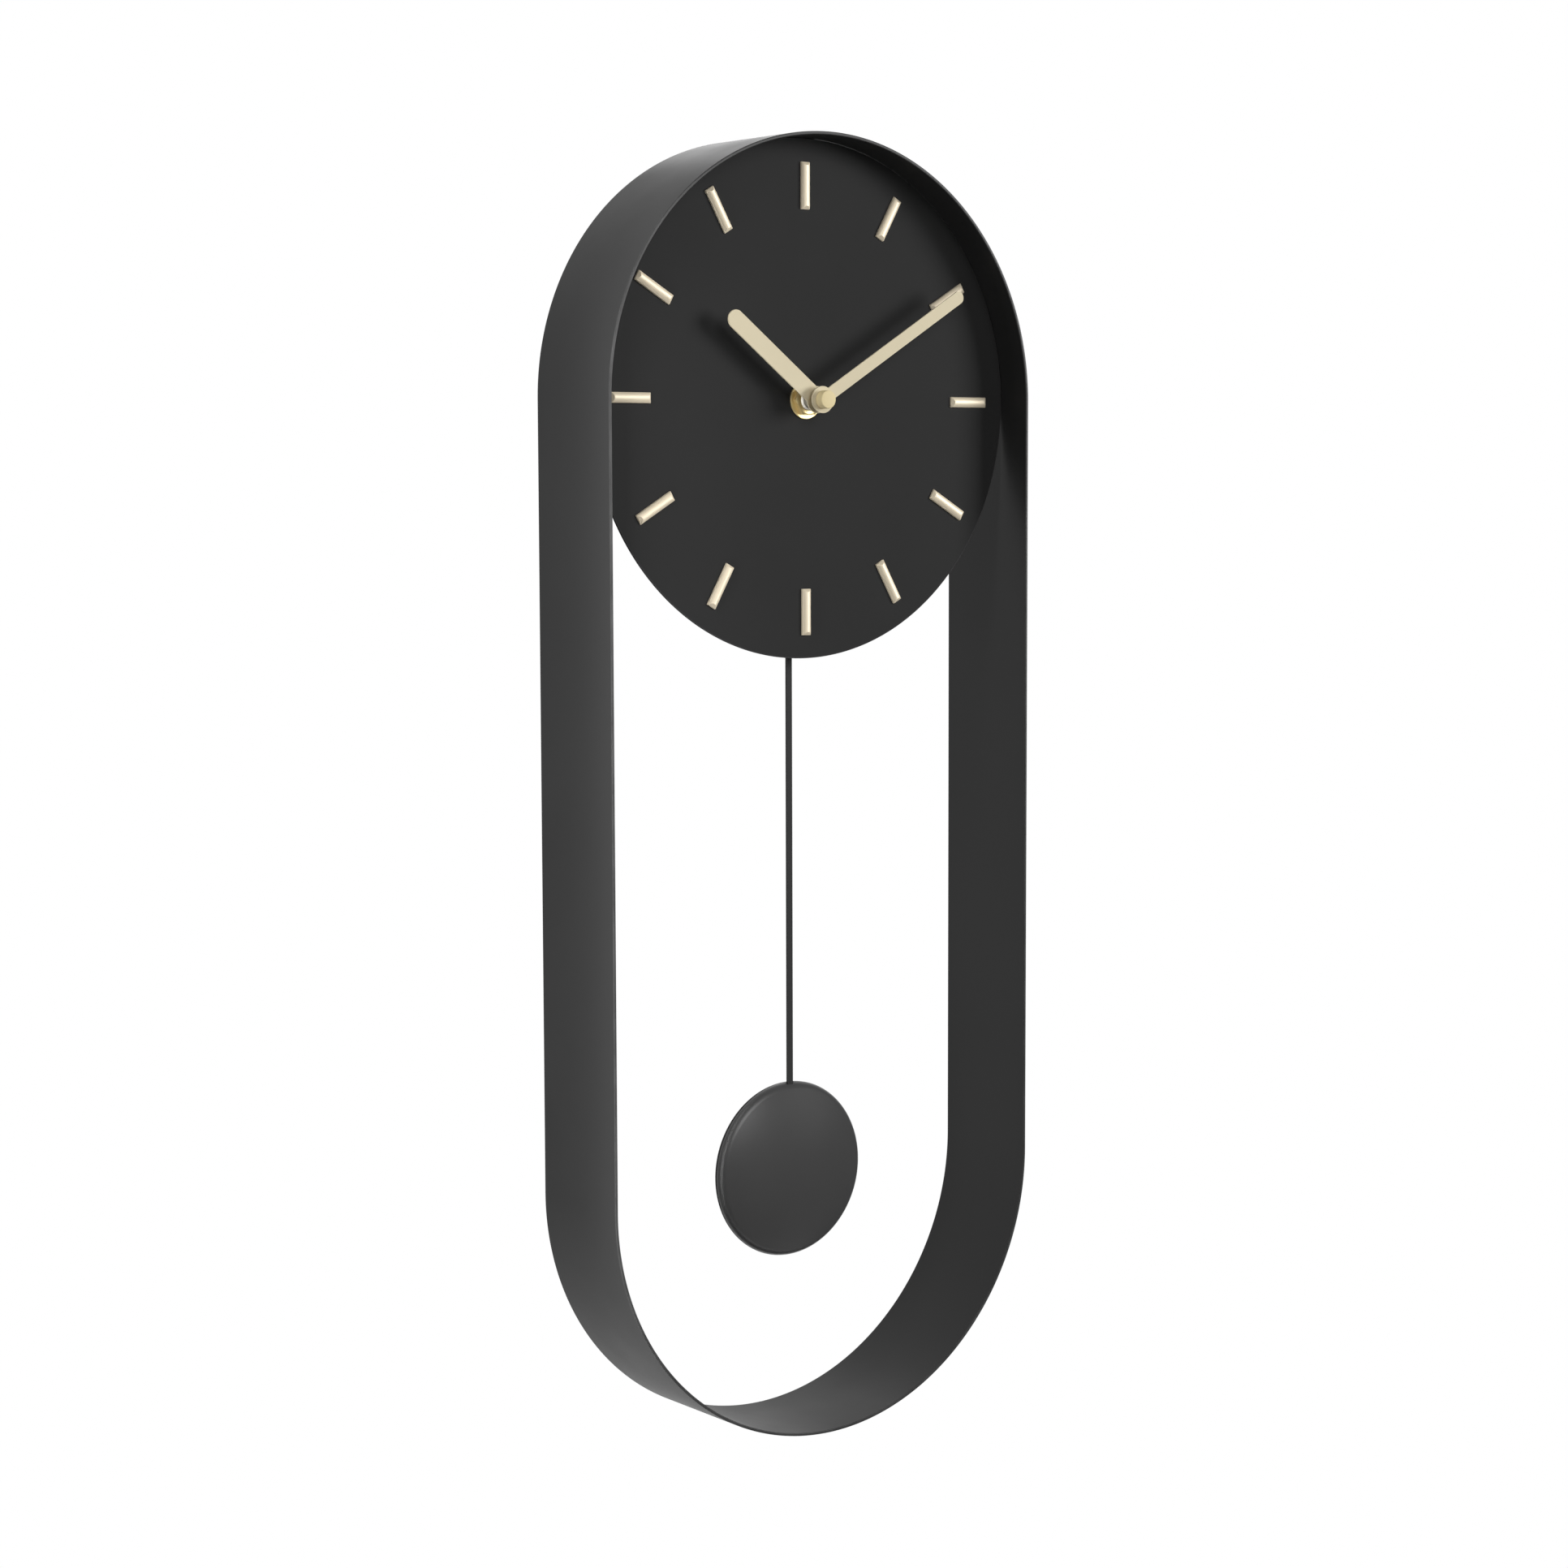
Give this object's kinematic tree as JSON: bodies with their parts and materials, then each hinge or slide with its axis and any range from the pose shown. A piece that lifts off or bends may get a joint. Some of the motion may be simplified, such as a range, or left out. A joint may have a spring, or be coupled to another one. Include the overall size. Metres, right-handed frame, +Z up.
{
  "type": "pendulum wall clock",
  "caption": "Wall clock with a tall stadium-shaped steel band frame, a round dial with stick hands and bar markers, and a round pendulum bob on a flat rod.",
  "frame": {"origin": "centre of the hanging keyhole's round end, on the wall plane", "axes": "+Z up, +Y towards the wall, +X to the viewer's right; the dial faces -Y"},
  "size_m": [0.2, 0.048, 0.5],
  "materials": {
    "frame_steel": "matt black powder coat, fine texture",
    "dial_steel": "matt black powder coat",
    "marker_metal": "satin pale champagne plating",
    "brass": "polished",
    "hand_metal": "matt champagne lacquer",
    "rubber": "plain",
    "case_plastic": "moulded black",
    "wheel_plastic": "moulded natural acetal",
    "plate_plastic": "moulded grey",
    "steel": "plain",
    "lamination": "stamped",
    "copper": "enamelled copper wire, wound",
    "board": "solder mask",
    "magnet": "sintered",
    "cell_sleeve": "plain sleeve, unmarked",
    "pendulum_steel": "matt black paint"
  },
  "bodies": {
    "clock_body": {"frame_band": "frame_steel", "dial_plate": "dial_steel", "hanger_tab": "frame_steel", "hour_marker_01": "marker_metal", "hour_marker_02": "marker_metal", "hour_marker_03": "marker_metal", "hour_marker_04": "marker_metal", "hour_marker_05": "marker_metal", "hour_marker_06": "marker_metal", "hour_marker_07": "marker_metal", "hour_marker_08": "marker_metal", "hour_marker_09": "marker_metal", "hour_marker_10": "marker_metal", "hour_marker_11": "marker_metal", "hour_marker_12": "marker_metal", "dial_washer": "brass", "bush_nut": "brass", "threaded_bush": "brass", "dial_gasket": "rubber", "case_front": "case_plastic", "case_back": "case_plastic", "train_plate": "plate_plastic", "circuit_board": "board", "quartz_crystal": "steel", "motor_stator": "lamination", "motor_core": "lamination", "motor_bobbin": "plate_plastic", "motor_winding": "copper", "battery_cell": "cell_sleeve", "battery_contact_plus": "steel", "battery_contact_minus": "steel", "pendulum_pin": "steel", "drive_bobbin": "plate_plastic", "drive_winding": "copper"},
    "minute_work": {"minute_shaft": "steel", "minute_hand": "hand_metal", "minute_collet": "brass", "end_cap": "brass", "retaining_ring": "steel"},
    "hour_work": {"hour_wheel": "wheel_plastic", "hour_hand": "hand_metal", "hour_collet": "brass"},
    "motion_work": {"motion_wheel": "wheel_plastic"},
    "setting_work": {"setting_pinion": "wheel_plastic", "setting_knob": "case_plastic"},
    "centre_work": {"centre_wheel": "wheel_plastic", "clutch_spring": "steel"},
    "third_work": {"third_wheel": "wheel_plastic"},
    "fourth_work": {"fourth_wheel": "wheel_plastic"},
    "fifth_work": {"fifth_wheel": "wheel_plastic"},
    "rotor": {"rotor_pinion": "wheel_plastic", "rotor_magnet": "magnet"},
    "pendulum": {"swing_lever": "plate_plastic", "swing_magnet": "magnet", "pendulum_rod": "pendulum_steel", "bob_front": "pendulum_steel", "bob_back": "pendulum_steel"}
  },
  "joints": [
    {"name": "minute_turn", "type": "hinge", "parent": "clock_body", "child": "minute_work", "pos_m": [0, -0.033, -0.076], "axis": [0, 1, 0], "continuous": true},
    {"name": "hour_turn", "type": "hinge", "parent": "clock_body", "child": "hour_work", "pos_m": [0, -0.033, -0.076], "axis": [0, 1, 0], "continuous": true},
    {"name": "motion_turn", "type": "hinge", "parent": "clock_body", "child": "motion_work", "pos_m": [0.012, -0.028, -0.076], "axis": [0, 1, 0], "continuous": true},
    {"name": "setting_turn", "type": "hinge", "parent": "clock_body", "child": "setting_work", "pos_m": [0.02239, -0.024, -0.082], "axis": [0, 1, 0], "continuous": true},
    {"name": "fourth_turn", "type": "hinge", "parent": "clock_body", "child": "fourth_work", "pos_m": [-0.00326, -0.023, -0.06058], "axis": [0, 1, 0], "continuous": true},
    {"name": "third_turn", "type": "hinge", "parent": "clock_body", "child": "third_work", "pos_m": [-0.01091, -0.024, -0.0697], "axis": [0, 1, 0], "continuous": true},
    {"name": "centre_turn", "type": "hinge", "parent": "clock_body", "child": "centre_work", "pos_m": [0, -0.026, -0.076], "axis": [0, 1, 0], "continuous": true},
    {"name": "fifth_turn", "type": "hinge", "parent": "clock_body", "child": "fifth_work", "pos_m": [0.00654, -0.022, -0.06058], "axis": [0, 1, 0], "continuous": true},
    {"name": "rotor_turn", "type": "hinge", "parent": "clock_body", "child": "rotor", "pos_m": [0.01443, -0.02, -0.06346], "axis": [0, 1, 0], "continuous": true},
    {"name": "pendulum_swing", "type": "hinge", "parent": "clock_body", "child": "pendulum", "pos_m": [0, -0.022, -0.112], "axis": [0, 1, 0], "range_deg": [-7, 7]}
  ],
  "couplings": [
    {"joint": "hour_turn", "follows": "minute_turn", "ratio": 0.083333},
    {"joint": "motion_turn", "follows": "minute_turn", "ratio": -0.33333},
    {"joint": "setting_turn", "follows": "minute_turn", "ratio": 1},
    {"joint": "third_turn", "follows": "fourth_turn", "ratio": -0.13333},
    {"joint": "centre_turn", "follows": "fourth_turn", "ratio": 0.016667},
    {"joint": "fifth_turn", "follows": "fourth_turn", "ratio": -6},
    {"joint": "rotor_turn", "follows": "fourth_turn", "ratio": 30}
  ]
}
